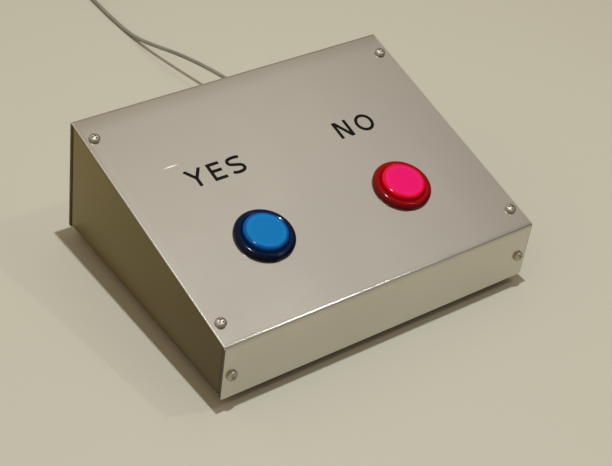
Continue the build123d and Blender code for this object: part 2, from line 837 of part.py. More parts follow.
exit_z = case_floor + cable_exit_height
tie_cable_z = pan_top + tie_pad_height + tie_bridge_height + cable_diameter / 2 + seat_clearance
cable_low = cable_diameter / 2
jacket_end = tie_x - 9
coil_outer = coil_turn_diameter / 2 + coil_half_turns * coil_pitch / 4
coil_start = (coil_centre[0] - coil_outer, coil_centre[1] - cable_diameter, cable_low)
inner_route = [
    (cable_exit_x, half_depth, exit_z),
    (cable_exit_x, half_depth - 7.0, exit_z),
    (cable_exit_x - 1.9, half_depth - 13.4, exit_z - 1.1),
    (cable_exit_x - 6.3, tie_y + 3.4, exit_z - 3.8),
    (cable_exit_x - 12.4, tie_y + 0.3, tie_cable_z + 1.3),
    (tie_x + 4.5, tie_y, tie_cable_z),
    (jacket_end, tie_y, tie_cable_z),
]
free_route = [
    (cable_exit_x, half_depth, exit_z),
    (cable_exit_x, half_depth + 21.0, exit_z),
    (cable_exit_x - 0.7, half_depth + 42.0, exit_z - 0.6),
    (cable_exit_x - 2.6, half_depth + 62.5, exit_z - 1.8),
    (cable_exit_x - 5.8, half_depth + 83.5, exit_z - 3.1),
    (cable_exit_x - 11.6, half_depth + 110.5, exit_z - 6.0),
    (cable_exit_x - 16.1, half_depth + 136.5, 6.5),
    (cable_exit_x - 18.2, half_depth + 158.5, cable_low),
    (cable_exit_x - 19.3, half_depth + 184.5, cable_low),
    (coil_start[0], half_depth + 213.5, cable_low),
    coil_start,
]


def gland():
    """A strain-relief bush: flange, neck through the back, inner lock, and a ribbed boot."""
    flange = gland_flange_diameter / 2
    body = rod(flange, 0, gland_flange_thickness)
    body = fillet(body.edges().sort_by(Axis.Z)[-1], gland_flange_thickness * 0.4)
    body += rod(gland_neck_diameter / 2, -cover_sheet, 0)
    body += rod(flange - 0.5, -cover_sheet - gland_flange_thickness, -cover_sheet)
    tip = gland_flange_thickness + gland_boot_length
    body += turned([(0, gland_flange_thickness), (gland_boot_root / 2, gland_flange_thickness),
                    (gland_boot_tip / 2, tip), (0, tip)])
    pitch = gland_boot_length / (gland_groove_count + 1)
    for index in range(gland_groove_count):
        low = gland_flange_thickness + pitch * (index + 0.8)
        along = (index + 1) / (gland_groove_count + 1)
        radius = gland_boot_root / 2 + (gland_boot_tip - gland_boot_root) / 2 * along
        body -= rod(radius + 2, low, low + pitch * 0.4) - rod(radius - gland_groove, low - 1, low + pitch)
    bore = rod(cable_diameter / 2 + thread_clearance / 2, -4 * gland_flange_thickness, tip + 1)
    return on_back(cable_exit_x, cable_exit_height) * (body - bore)


def tie_mount():
    """A stick-on pad with a bridge for the tie."""
    half = tie_pad / 2
    top = pan_top + tie_pad_height
    body = block((tie_x - half, tie_y - half, pan_top), (tie_x + half, tie_y + half, top))
    body = fillet(body.edges().filter_by(Axis.Z), 1.5)
    body += block((tie_x - tie_bridge_length / 2, tie_y - tie_bridge_width / 2, top),
                  (tie_x + tie_bridge_length / 2, tie_y + tie_bridge_width / 2, top + tie_bridge_height))
    slot = tie_band_width / 2 + seat_clearance
    return body - block((tie_x - slot, tie_y - tie_pad, top),
                        (tie_x + slot, tie_y + tie_pad, top + tie_band + 0.2))


def cable_tie():
    """A nylon band round the cable and under the bridge, with its locking head."""
    bottom = pan_top + tie_pad_height + seat_clearance
    top = tie_cable_z + cable_diameter / 2 + seat_clearance + tie_band
    half = tie_bridge_width / 2 + seat_clearance + tie_band
    height = top - bottom
    outline = Rectangle(2 * half, height) - Rectangle(2 * half - 2 * tie_band, height - 2 * tie_band)
    band = extrude(Plane.YZ * outline, tie_band_width / 2, both=True)
    head = Pos(0, half + tie_head / 2, 0) * Box(tie_head * 1.1, tie_head, tie_head * 0.9)
    head = fillet(head.edges().filter_by(Axis.Y), 0.5)
    tail = Pos(0, half + tie_head + 1.5, 0) * Box(tie_band_width, 3.0, tie_band)
    return Pos(tie_x, tie_y, (top + bottom) / 2) * (band + head + tail)


def cable_cores():
    """Three insulated cores from the end of the jacket to the strip's back."""
    cores = []
    spread = core_diameter * 0.66
    for index, (pole_x, bow) in enumerate(zip(reversed(poles), (-0.25, 0.4, 0.9))):
        angle = math.radians(90 + 120 * index)
        y = tie_y + spread * math.cos(angle)
        z = tie_cable_z + spread * math.sin(angle)
        lift = 0.7 if index == 0 else 0.2
        leave_x = jacket_end - 2.4
        points = [
            (jacket_end, y, z),
            (leave_x, y, z),
            ((leave_x + pole_x + 2.2) / 2, y + bow, z + lift),
            (pole_x + 2.2, tie_y - 1.1, pole_z + lift),
            (pole_x, strip_back + 6.6, pole_z),
            (pole_x, strip_back - wire_entry, pole_z),
        ]
        cores.append(routed_tube(points, core_diameter, "cable core"))
    return cores


def coil_knot(turned_by, radius, height, swell, climb):
    """Place and direction after a clockwise turn, counted from the coil's left side."""
    angle = math.pi - turned_by
    place = Vector(coil_centre[0] + radius * math.cos(angle), coil_centre[1] + radius * math.sin(angle),
                   height)
    ahead = Vector(swell * math.cos(angle) + radius * math.sin(angle),
                   swell * math.sin(angle) - radius * math.cos(angle), climb)
    return place, ahead


def coil_knots():
    """Layers that wind in and out again, each climb in the half turn where they reverse."""
    rate = coil_pitch / (2 * math.pi)
    radius, height, turned_by = coil_outer, cable_low, 0.0
    knots = [coil_knot(turned_by, radius, height, 0, 0)]
    for layer in range(coil_layers):
        sign = -1 if layer % 2 == 0 else 1
        halves = coil_half_turns if layer < coil_layers - 1 else coil_last_half_turns
        remaining = halves
        while remaining > 0:
            step = min(1.0, remaining)
            turned_by += step * math.pi
            radius += sign * rate * step * math.pi
            remaining -= step
            knots.append(coil_knot(turned_by, radius, height, sign * rate, 0))
        if layer < coil_layers - 1:
            knots.append(coil_knot(turned_by + math.pi / 2, radius + sign * coil_pitch / 4,
                                   height + coil_pitch / 2, 0, coil_pitch * 1.5 / math.pi))
            turned_by += math.pi
            height += coil_pitch
            knots.append(coil_knot(turned_by, radius, height, -sign * rate, 0))
    place, ahead = knots[-1]
    knots[-1] = (place, Vector(1, 0, 0))
    return knots


def coil_path():
    knots = coil_knots()
    first, last = knots[0][0], knots[-1][0]
    lead_in = Edge.make_line(Vector(*coil_start), first)
    lead_out = Edge.make_line(last, last + Vector(cable_diameter, 0, 0))
    return Wire([lead_in] + wound_path(knots) + [lead_out])


def jack_plug():
    """A moulded grip with its boot, lying along +X from the origin."""
    grip = plug_body_diameter / 2
    outline = [(0, 0), (plug_boot_tip / 2, 0), (plug_boot_root / 2, plug_boot_length),
               (grip, plug_boot_length + 1.5), (grip, plug_boot_length + plug_body_length),
               (0, plug_boot_length + plug_body_length)]
    body = turned(outline)
    body = fillet(body.edges().filter_by(GeomType.CIRCLE).sort_by(Axis.Z)[-1], 1.0)
    return Rot(0, 90, 0) * body


def jack_contacts():
    """Sleeve, ring and tip of a three-pole jack, one behind another."""
    start = plug_boot_length + plug_body_length
    radius = jack_diameter / 2
    sleeve = rod(radius, start, start + jack_sleeve_length)
    band_start = start + jack_sleeve_length + jack_ring_gap
    band = rod(radius, band_start, band_start + jack_band_length)
    tip_start = band_start + jack_band_length + jack_ring_gap
    end = tip_start + jack_tip_length
    tip = turned([(0, tip_start), (radius, tip_start), (radius * 0.72, tip_start + jack_tip_length * 0.22),
                  (radius, tip_start + jack_tip_length * 0.5), (radius * 0.45, end), (0, end)])
    return [Rot(0, 90, 0) * piece for piece in (sleeve, band, tip)]


def jack_rings():
    """Black insulating rings between the contacts."""
    start = plug_boot_length + plug_body_length + jack_sleeve_length
    rings = [rod(jack_diameter / 2, start, start + jack_ring_gap)]
    start += jack_ring_gap + jack_band_length
    rings.append(rod(jack_diameter / 2, start, start + jack_ring_gap))
    return [Rot(0, 90, 0) * ring for ring in rings]


def make_lead():
    save("gland", gland())
    save("cable_in_case", routed_tube(inner_route, cable_diameter, "cable in the case"))
    save("tie_mount", tie_mount())
    save("cable_tie", cable_tie())
    save("cable_cores", group(cable_cores()))
    save("cable", routed_tube(free_route, cable_diameter, "cable"))
    path = coil_path()
    least_gap(path, cable_diameter, "cable coil", 2 * math.pi * coil_turn_diameter / 2)
    save("cable_coil", round_tube(path, cable_diameter, "cable coil"))
    end = path.position_at(1)
    plug_z = plug_body_diameter / 2
    tail_route = [
        tuple(end),
        (end.X + 10.0, end.Y, end.Z),
        (end.X + 21.0, end.Y - 1.8, end.Z - 3.4),
        (end.X + 32.0, end.Y - 5.4, plug_z),
        (end.X + 41.0, end.Y - 9.6, plug_z),
    ]
    save("cable_tail", routed_tube(tail_route, cable_diameter, "cable tail"))
    one, two = tail_route[-2], tail_route[-1]
    heading = math.degrees(math.atan2(two[1] - one[1], two[0] - one[0]))
    place = Pos(*two) * Rot(0, 0, heading)
    save("plug_grip", place * jack_plug())
    save("plug_contacts", group(place * piece for piece in jack_contacts()))
    save("plug_rings", group(place * ring for ring in jack_rings()))


os.makedirs("parts", exist_ok=True)
make_case()
make_feet()
make_button("blue", -1)
make_button("red", 1)
make_legends()
make_wiring()
make_lead()
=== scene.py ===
import json
import math

import bmesh
import bpy
import numpy as np
from mathutils import Matrix, Vector


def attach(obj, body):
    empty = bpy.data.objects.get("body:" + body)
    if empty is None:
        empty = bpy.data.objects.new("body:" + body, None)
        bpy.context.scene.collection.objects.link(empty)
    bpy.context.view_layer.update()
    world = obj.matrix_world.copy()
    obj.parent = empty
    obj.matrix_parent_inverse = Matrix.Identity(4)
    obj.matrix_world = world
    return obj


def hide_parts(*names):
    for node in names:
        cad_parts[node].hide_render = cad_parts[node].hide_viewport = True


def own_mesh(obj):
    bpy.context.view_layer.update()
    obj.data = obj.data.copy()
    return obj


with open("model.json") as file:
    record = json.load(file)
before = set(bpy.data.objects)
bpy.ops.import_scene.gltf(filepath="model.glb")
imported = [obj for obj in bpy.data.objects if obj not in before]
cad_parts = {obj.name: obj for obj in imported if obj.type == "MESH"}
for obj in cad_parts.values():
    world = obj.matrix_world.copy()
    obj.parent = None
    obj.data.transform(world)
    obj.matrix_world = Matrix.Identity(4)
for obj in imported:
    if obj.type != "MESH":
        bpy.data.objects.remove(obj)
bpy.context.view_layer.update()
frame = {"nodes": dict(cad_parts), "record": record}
nodes = frame["nodes"]
print("frame loaded:", len(nodes), "nodes")

# The sloping panel gives most pieces their place. All lengths are in metres.
caseShape = {
    "width": 0.2,
    "depth": 0.152,
    "frontTop": 0.0405,
    "backTop": 0.076,
    "footHeight": 0.005,
    "sheet": 0.0012,
}
slope = math.atan2(caseShape["backTop"] - caseShape["frontTop"], caseShape["depth"])
panelLength = math.hypot(caseShape["backTop"] - caseShape["frontTop"], caseShape["depth"])


def onPanel(x, up):
    # X runs to the right, Y up the slope and Z out of the panel
    start = Matrix.Translation((0, -caseShape["depth"] / 2, caseShape["frontTop"]))
    return start @ Matrix.Rotation(slope, 4, "X") @ Matrix.Translation((x, up, 0))


def onFront(x, height):
    place = Matrix.Translation((x, -caseShape["depth"] / 2, height))
    return place @ Matrix.Rotation(math.pi / 2, 4, "X")


def onBack(x, height):
    place = Matrix.Translation((x, caseShape["depth"] / 2, height))
    return place @ Matrix.Rotation(-math.pi / 2, 4, "X")


# Shader helpers: a value that changes over a surface can be added, multiplied and so on

class Shade:
    def __init__(self, finish, socket):
        self.finish = finish
        self.socket = socket

    def maths(self, operation, *others):
        inputs = {index + 1: other for index, other in enumerate(others)}
        return self.finish.add("ShaderNodeMath", {"operation": operation}, {0: self, **inputs})

    def __add__(self, other):
        return self.maths("ADD", other)

    __radd__ = __add__

    def __mul__(self, other):
        return self.maths("MULTIPLY", other)

    __rmul__ = __mul__

    def __sub__(self, other):
        return self.maths("SUBTRACT", other)

    def __rsub__(self, other):
        return self.finish.add("ShaderNodeMath", {"operation": "SUBTRACT"}, {0: other, 1: self})

    def __pow__(self, other):
        return self.maths("POWER", other)

    def clamped(self):
        return self.maths("MAXIMUM", 0.0).maths("MINIMUM", 1.0)

    def between(self, low, high):
        # 0 below low, 1 above high, a smooth step in the middle
        return self.finish.add("ShaderNodeMapRange", {"interpolation_type": "SMOOTHSTEP"},
                               {"Value": self, "From Min": low, "From Max": high})


class Finish:
    def __init__(self, name):
        self.material = bpy.data.materials.new(name)
        self.material.use_nodes = True
        self.tree = self.material.node_tree
        self.tree.nodes.clear()
        self.output = self.tree.nodes.new("ShaderNodeOutputMaterial")
        self.surface = self.tree.nodes.new("ShaderNodeBsdfPrincipled")
        self.tree.links.new(self.surface.outputs["BSDF"], self.output.inputs["Surface"])
        self.place = self.add("ShaderNodeTexCoord", output="Object")

    def add(self, kind, settings=None, inputs=None, output=0):
        node = self.tree.nodes.new(kind)
        for key, value in (settings or {}).items():
            setattr(node, key, value)
        for key, value in (inputs or {}).items():
            self.join(node, key, value)
        return Shade(self, node.outputs[output])

    def join(self, node, key, value):
        if isinstance(value, Shade):
            self.tree.links.new(value.socket, node.inputs[key])
        elif isinstance(value, tuple) and node.inputs[key].type == "RGBA":
            node.inputs[key].default_value = (*value, 1)
        else:
            node.inputs[key].default_value = value

    def set(self, **values):
        # BaseColor=... goes to the shader's "Base Color", and so on
        names = {"BaseColor": "Base Color", "SpecularLevel": "Specular IOR Level"}
        for key, value in values.items():
            self.join(self.surface, names.get(key, key), value)

    def mapped(self, scale=(1, 1, 1), centre=(0, 0, 0), turn=(0, 0, 0)):
        return self.add("ShaderNodeMapping", {"vector_type": "TEXTURE"},
                        {"Vector": self.place, "Location": centre, "Rotation": turn, "Scale": scale})

    def axes(self, vector):
        parts = self.tree.nodes.new("ShaderNodeSeparateXYZ")
        self.join(parts, "Vector", vector)
        return [Shade(self, output) for output in parts.outputs]

    def noise(self, scale, detail, roughness, vector=None):
        return self.add("ShaderNodeTexNoise", None, {"Vector": vector or self.place, "Scale": scale,
                                                     "Detail": detail, "Roughness": roughness})

    def blendColours(self, factor, low, high):
        return self.add("ShaderNodeMix", {"data_type": "RGBA"}, {"Factor": factor, 6: low, 7: high}, output=2)

    def bump(self, height, strength, distance):
        sockets = {"Height": height, "Strength": strength, "Distance": distance}
        self.set(Normal=self.add("ShaderNodeBump", None, sockets, output="Normal"))


def shown(r, g, b):
    # a screen colour from 0 to 255 as the linear colour that the shader takes
    def one(c):
        c = c / 255
        return c / 12.92 if c <= 0.04045 else ((c + 0.055) / 1.055) ** 2.4
    return one(r), one(g), one(b)


def toned(colour, factor, added=0.0):
    return tuple(min(1, c * factor + added) for c in colour)


# Finishes

coverLook = {
    "colour": (0.645, 0.613, 0.542),
    "roughness": 0.152,
    "cutColour": (0.64, 0.61, 0.56),
    "cutDepth": 0.0001,         # the bare end of the sheet, its outer 0.1 mm
    "cutFade": 0.0004,          # how far in it fades out, across and under the panel's sheet
    "cutPaintedShade": 0.17,           # the share of its colour left on the front and the back
    # painted shade along the two bends of the cover
    "bendReach": 0.003,         # where a bend's darker line fades out, along and under the panel
    "bendDepth": 0.0015,        # how deep under the panel it keeps its full tone
    "bendPaintedShade": 0.12,
    # a painted glint beside the left word: its place, reach, colour and strength
    "glintAt": (-0.0665, 0.0302, 0.0653),
    "glintReach": (0.0058, 0.0005, 1),
    "glintColour": (1.0, 0.96, 0.88),
    "glintStrength": 0.85,
    "marksRoughness": 0.25,     # more on the painted glint and on the cut ends
}


def satinAluminium(name):
    # rolled sheet: its sheared ends are bright along the panel and carry painted shade along the front and
    # the back, its two bends carry a little painted shade, and one short painted glint lies beside the left
    # word
    look = coverLook
    sheet, halfWidth = caseShape["sheet"], caseShape["width"] / 2
    finish = Finish(name)
    # fine rolling grain along X, and broad stains of handling
    grain = finish.noise(scale=900, detail=3, roughness=0.6, vector=finish.mapped(scale=(9, 1, 1)))
    wear = finish.noise(scale=14, detail=3, roughness=0.55).between(0.35, 0.75)
    speck = finish.noise(scale=2600, detail=1, roughness=0.5)
    colour = finish.blendColours(wear * 0.75 + grain * 0.25, toned(look["colour"], 0.96),
                                 toned(look["colour"], 1.04))
    panelPlace = finish.mapped(centre=tuple(onPanel(0, 0).translation), turn=(slope, 0, 0))
    across, up, out = finish.axes(panelPlace)
    cut = across.maths("ABSOLUTE").between(halfWidth - look["cutFade"], halfWidth - look["cutDepth"])
    topCut = cut * out.between(-sheet - look["cutFade"], -sheet)
    reach = look["bendReach"]
    frontBend = 1 - up.between(sheet, reach)
    backBend = up.between(panelLength - reach, panelLength - sheet)
    bend = frontBend.maths("MAXIMUM", backBend) * out.between(-reach, -look["bendDepth"])
    glintPlace = finish.mapped(scale=look["glintReach"], centre=look["glintAt"], turn=(slope, 0, 0))
    along, over, _ = finish.axes(glintPlace)
    paintedGlint = 1 - (along * along + over * over).between(0.0, 1.0)
    # painted shade along the two bends
    colour = finish.blendColours(bend * look["bendPaintedShade"], colour, (0.0, 0.0, 0.0))
    # painted shade: the cut ends on the front and the back take a darkened share of the cut colour
    colour = finish.blendColours(cut, colour, toned(look["cutColour"], look["cutPaintedShade"]))
    colour = finish.blendColours(topCut, colour, look["cutColour"])
    # a painted glint: a pale patch beside the left word
    colour = finish.blendColours(paintedGlint * look["glintStrength"], colour, look["glintColour"])
    marks = (paintedGlint + cut) * look["marksRoughness"]
    finish.set(BaseColor=colour, Metallic=1.0,
               Roughness=look["roughness"] + wear * 0.03 + (grain - 0.5) * 0.03 + marks)
    finish.bump(grain * 0.7 + speck * 0.3, strength=0.06, distance=0.00005)
    return finish.material


oliveLook = {
    "dark": (0.101, 0.071, 0.0205),
    "pale": (0.225, 0.172, 0.055),
    # painted light: paler per metre towards the back and up, plus a level at the origin
    "litGradient": {"back": 5.5, "up": 3.0, "level": 0.4},      # per metre, and at the origin
    "cloud": 0.2,
}


def olivePaint():
    # sprayed metallic paint with a fine orange peel, and painted light: paler towards the back and the top
    look, litGradient = oliveLook, oliveLook["litGradient"]
    finish = Finish("panOlive")
    cloud = finish.noise(scale=18, detail=3, roughness=0.5)
    peel = finish.noise(scale=700, detail=2, roughness=0.5)
    _, back, up = finish.axes(finish.place)
    # painted light, paler towards the back and the top, with random cloud added on top
    paintedLit = (back * litGradient["back"] + up * litGradient["up"] + litGradient["level"]).clamped()
    litAndCloud = (paintedLit + (cloud - 0.5) * look["cloud"]).clamped()
    finish.set(BaseColor=finish.blendColours(litAndCloud, look["dark"], look["pale"]), Metallic=0.8,
               Roughness=0.28 + cloud * 0.05)
    finish.bump(peel, strength=0.12, distance=0.00008)
    return finish.material


def platedSteel(name, colour, rough):
    finish = Finish(name)
    cloud = finish.noise(scale=260, detail=3, roughness=0.6).between(0.35, 0.7)
    scratch = finish.noise(scale=3500, detail=2, roughness=0.7, vector=finish.mapped(scale=(1, 6, 1)))
    finish.set(BaseColor=finish.blendColours(cloud, toned(colour, 0.82), colour), Metallic=1.0,
               Roughness=rough + (scratch - 0.5) * 0.12)
    finish.bump(scratch, strength=0.08, distance=0.00004)
    return finish.material


def mouldedRubber(name, colour):
    finish = Finish(name)
    speck = finish.noise(scale=1400, detail=3, roughness=0.6)
    dust = finish.noise(scale=120, detail=3, roughness=0.6).between(0.45, 0.8)
    finish.set(BaseColor=finish.blendColours(dust * 0.4, colour, toned(colour, 1.8, 0.01)),
               Roughness=0.62 + speck * 0.16)
    finish.bump(speck, strength=0.25, distance=0.00008)
    return finish.material


def mouldedPlastic(name, colour, rough=0.42):
    finish = Finish(name)
    speck = finish.noise(scale=1100, detail=2, roughness=0.5)
    cloud = finish.noise(scale=90, detail=2, roughness=0.5)
    finish.set(BaseColor=finish.blendColours(cloud, toned(colour, 0.9), colour),
               Roughness=rough - 0.04 + speck * 0.08)
    finish.bump(speck, strength=0.10, distance=0.00005)
    return finish.material


def softJacket(name, colour, rough=0.4):
    finish = Finish(name)
    speck = finish.noise(scale=800, detail=3, roughness=0.6)
    cloud = finish.noise(scale=60, detail=3, roughness=0.6).between(0.3, 0.7)
    finish.set(BaseColor=finish.blendColours(cloud, toned(colour, 0.88), toned(colour, 1.08)),
               Roughness=rough + speck * 0.12)
    finish.bump(speck, strength=0.12, distance=0.00006)
    return finish.material


def inkFilm():
    finish = Finish("letterFilm")
    speck = finish.noise(scale=1600, detail=3, roughness=0.6)
    finish.set(BaseColor=finish.blendColours(speck, shown(13, 9, 6), shown(22, 16, 10)),
               Roughness=0.45 + speck * 0.15, SpecularLevel=0.06)
    finish.bump(speck, strength=0.15, distance=0.00004)
    return finish.material


# a painted glow starts, peaks and ends at the radii of "glow", and the deep tone, painted shade, sets in over
# those of "side"
clearLook = {
    "rim": {"gloss": 0.16, "glow": (0.0114, 0.0127, 0.0140), "side": (0.0148, 0.0162)},
    "cap": {"gloss": 0.15, "glow": (0.0080, 0.0098, 0.0102), "side": (0.0101, 0.0108)},
}


def clearPlastic(name, centre, look, deep, middle, bright):
    # tinted clear plastic over a white inside, with painted light: a painted glow ring in the top, and
    # painted shade in deeper tones down the sides
    start, peak, end = look["glow"]
    finish = Finish(name)
    x, y, _ = finish.axes(finish.mapped(centre=centre, turn=(slope, 0, 0)))
    radius = (x * x + y * y) ** 0.5
    cloud = finish.noise(scale=160, detail=2, roughness=0.5)
    # painted glow in a ring in the top, and painted shade down the sides
    glow = radius.between(start, peak) * (1 - radius.between(peak, end))
    side = radius.between(*look["side"])
    top = finish.blendColours(glow * 0.8 + (cloud - 0.5) * 0.2, middle, bright)
    finish.set(BaseColor=finish.blendColours(side, top, deep), Roughness=0.085 + cloud * 0.03,
               SpecularLevel=look["gloss"])
    finish.bump(finish.noise(scale=420, detail=2, roughness=0.5), strength=0.015, distance=0.00004)
    return finish.material


finishes = {
    "cover_aluminium": satinAluminium("coverAluminium"),
    "pan_paint": olivePaint(),
    "screw_steel": platedSteel("screwPlating", (0.47, 0.42, 0.345), 0.5),
    "foot_rubber": mouldedRubber("footRubber", shown(34, 33, 32)),
    "legend_film": inkFilm(),
    "natural_nylon": mouldedPlastic("naturalNylon", shown(222, 216, 200)),
    "brass": platedSteel("plainBrass", shown(214, 182, 110), 0.28),
    "black_pvc": softJacket("blackJacket", shown(28, 28, 29)),
    "blue_pvc": softJacket("blueJacket", shown(30, 70, 150)),
    "red_pvc": softJacket("redJacket", shown(170, 28, 30)),
    "white_pvc": softJacket("whiteJacket", shown(222, 221, 215)),
    "gland_rubber": mouldedRubber("bushRubber", shown(58, 57, 55)),
    "cable_pvc": softJacket("leadJacket", shown(122, 118, 104), 0.36),
    "plug_plastic": mouldedPlastic("plugPlastic", shown(40, 40, 41), 0.34),
    "nickel": platedSteel("nickelPlating", shown(226, 219, 206), 0.16),
    "white_plastic": mouldedPlastic("whitePlastic", shown(232, 232, 228)),
    "spring_steel": platedSteel("springWire", shown(196, 194, 190), 0.22),
    "black_nylon": mouldedPlastic("blackNylon", shown(36, 36, 37), 0.45),
    "red_plastic": mouldedPlastic("redPin", shown(186, 36, 34), 0.35),
}
print("finishes made:", len(finishes))


# Mesh helpers

meshLimits = {"merge": 1e-7, "tiny": 1e-8}


def gridPiece(name, points, place, sharpAngle):
    # points[row, column] is a closed ring per row; each cell of the grid is one face
    rows, columns = points.shape[:2]
    index = np.arange(rows * columns).reshape(rows, columns)
    nextColumn = np.roll(index, -1, axis=1)
    faces = np.stack([index[:-1], nextColumn[:-1], nextColumn[1:], index[1:]], axis=-1).reshape(-1, 4)
    mesh = bpy.data.meshes.new(name)
    mesh.from_pydata(points.reshape(-1, 3).tolist(), [], faces.tolist())
    shape = bmesh.new()
    shape.from_mesh(mesh)
    bmesh.ops.remove_doubles(shape, verts=shape.verts, dist=meshLimits["merge"])
    bmesh.ops.dissolve_degenerate(shape, edges=shape.edges, dist=meshLimits["tiny"])
    openEdges = [edge for edge in shape.edges if edge.is_boundary]
    if openEdges:
        bmesh.ops.holes_fill(shape, edges=openEdges, sides=0)
    bmesh.ops.recalc_face_normals(shape, faces=shape.faces)
    shape.to_mesh(mesh)
    shape.free()
    mesh.transform(place)
    piece = placed(name, mesh)
    softenShading(piece, sharpAngle)
    return piece


def placed(name, data):
    piece = bpy.data.objects.new(name, data)
    bpy.context.scene.collection.objects.link(piece)
    return piece


def smoothed(piece, sharpAngle):
    piece.data.polygons.foreach_set("use_smooth", np.ones(len(piece.data.polygons), dtype=bool))
    piece.data.set_sharp_from_angle(angle=math.radians(sharpAngle))


def softenShading(piece, sharpAngle):
    smoothed(piece, sharpAngle)
    weigh = piece.modifiers.new("weigh", "WEIGHTED_NORMAL")
    weigh.keep_sharp = True


def arcThrough(first, middle, last, count):
    # the circle through three points of an outline, from the first to the last
    first, middle, last = (np.array(p, dtype=float) for p in (first, middle, last))
    sides = np.array([middle - first, last - first]) * 2
    centre = np.linalg.solve(sides, [middle @ middle - first @ first, last @ last - first @ first])
    radius = np.linalg.norm(first - centre)
    angles = [math.atan2(*(p - centre)[::-1]) for p in (first, middle, last)]
    for k in (1, 2):
        angles[k] = angles[k - 1] + (angles[k] - angles[k - 1] + math.pi) % (2 * math.pi) - math.pi
    turn = np.linspace(angles[0], angles[2], count)
    return centre + radius * np.stack([np.cos(turn), np.sin(turn)], axis=1)


def roundedOutline(corners, steps=6):
    # corners are (radius, height, rounding); each rounding becomes an arc tangent to both sides
    points = [np.array(corners[0][:2], dtype=float)]
    for before, corner, after in zip(corners, corners[1:], corners[2:]):
        here = np.array(corner[:2], dtype=float)
        rounding = corner[2] if len(corner) > 2 else 0
        if rounding <= 0:
            points.append(here)
            continue
        one = (np.array(before[:2]) - here) / np.linalg.norm(np.array(before[:2]) - here)
        two = (np.array(after[:2]) - here) / np.linalg.norm(np.array(after[:2]) - here)
        half = math.acos(np.clip(one @ two, -1, 1)) / 2
        reach = rounding / math.tan(half)
        middle = here + (one + two) / np.linalg.norm(one + two) * (rounding / math.sin(half) - rounding)
        points.extend(arcThrough(here + one * reach, middle, here + two * reach, steps))
    points.append(np.array(corners[-1][:2], dtype=float))
    return np.array(points)


def turnedPoints(outline, segments):
    # x = radius cos(angle), y = radius sin(angle), z = height
    angle = np.linspace(0, 2 * np.pi, segments, endpoint=False)
    radius, height = outline[:, 0][:, None], outline[:, 1][:, None]
    return np.stack([radius * np.cos(angle), radius * np.sin(angle), height + 0 * angle], axis=-1)


def turnedPiece(name, outline, place, segments, sharpAngle=35):
    return gridPiece(name, turnedPoints(np.asarray(outline, dtype=float), segments), place, sharpAngle)


def grooves(along, count, phase, gain, level, first, last):
    # gain sin(2 pi count t - phase) - level, kept between 0 and 1, from t = first to t = last only
    wave = np.clip(np.sin(2 * np.pi * count * along - phase) * gain - level, 0, 1)
    return wave * (along > first) * (along < last)


def settle(piece, finish, slot, body, *replaced):
    piece.data.materials.clear()
    piece.data.materials.append(finish)
    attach(piece, body)
    if replaced:
        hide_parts(*replaced)
    return piece


def joinPieces(name, pieces, sharpAngle=35):
    # several solids of one kind become one object
    shape = bmesh.new()
    for piece in pieces:
        shape.from_mesh(piece.data)
    mesh = bpy.data.meshes.new(name)
    shape.to_mesh(mesh)
    shape.free()
    for piece in pieces:
        bpy.data.objects.remove(piece)
    joined = placed(name, mesh)
    softenShading(joined, sharpAngle)
    return joined


# Case: cover, pan and their screws

sheetEase = {
    "merge": 1e-6,
    "flatAngle": 0.6,
    "sharpAngle": 28,
    "cover": 0.0003,
    "pan": 0.0001,
}


def easedCopy(name, node):
    # a CAD sheet's own shape with its cut edges broken
    ease = sheetEase
    mesh = nodes[node].data.copy()
    mesh.name = name
    shape = bmesh.new()
    shape.from_mesh(mesh)
    bmesh.ops.remove_doubles(shape, verts=shape.verts, dist=ease["merge"])
    bmesh.ops.dissolve_limit(shape, angle_limit=math.radians(ease["flatAngle"]), verts=shape.verts,
                             edges=shape.edges, use_dissolve_boundaries=False)
    shape.to_mesh(mesh)
    shape.free()
    piece = placed(name, mesh)
    smoothed(piece, ease["sharpAngle"])
    bevel = piece.modifiers.new("ease", "BEVEL")
    bevel.width = ease[node]
    bevel.segments = 2
    bevel.limit_method = "ANGLE"
    bevel.angle_limit = math.radians(ease["sharpAngle"])
    bevel.harden_normals = True
    return piece


settle(easedCopy("coverSheet", "cover"), finishes["cover_aluminium"], "cover_aluminium", "case", "cover")
settle(easedCopy("panSheet", "pan"), finishes["pan_paint"], "pan_paint", "case", "pan")
print("case sheets eased")

screwShape = {
    "headRadius": 0.003,
    "headHeight": 0.0024,
    "rimHeight": 0.0008,
    "shankRadius": 0.0015,
    "length": 0.007,
    "crossArm": 0.0018,
    "crossHalfWidth": 0.00042,
    "crossDepth": 0.0013,
}
screwDetail = {
    "evenReach": 0.9,           # even rings up to this share of the radius, then closer and closer
    "rimRings": 12,
    "headEdge": 0.00012,
    "tipEdge": 0.0005,
    "crossWall": 0.00022,       # width of the cross's leaning walls
    "crossTaper": 0.45,         # how much of its depth an arm loses on its way out
    "sharpAngle": 40,
}


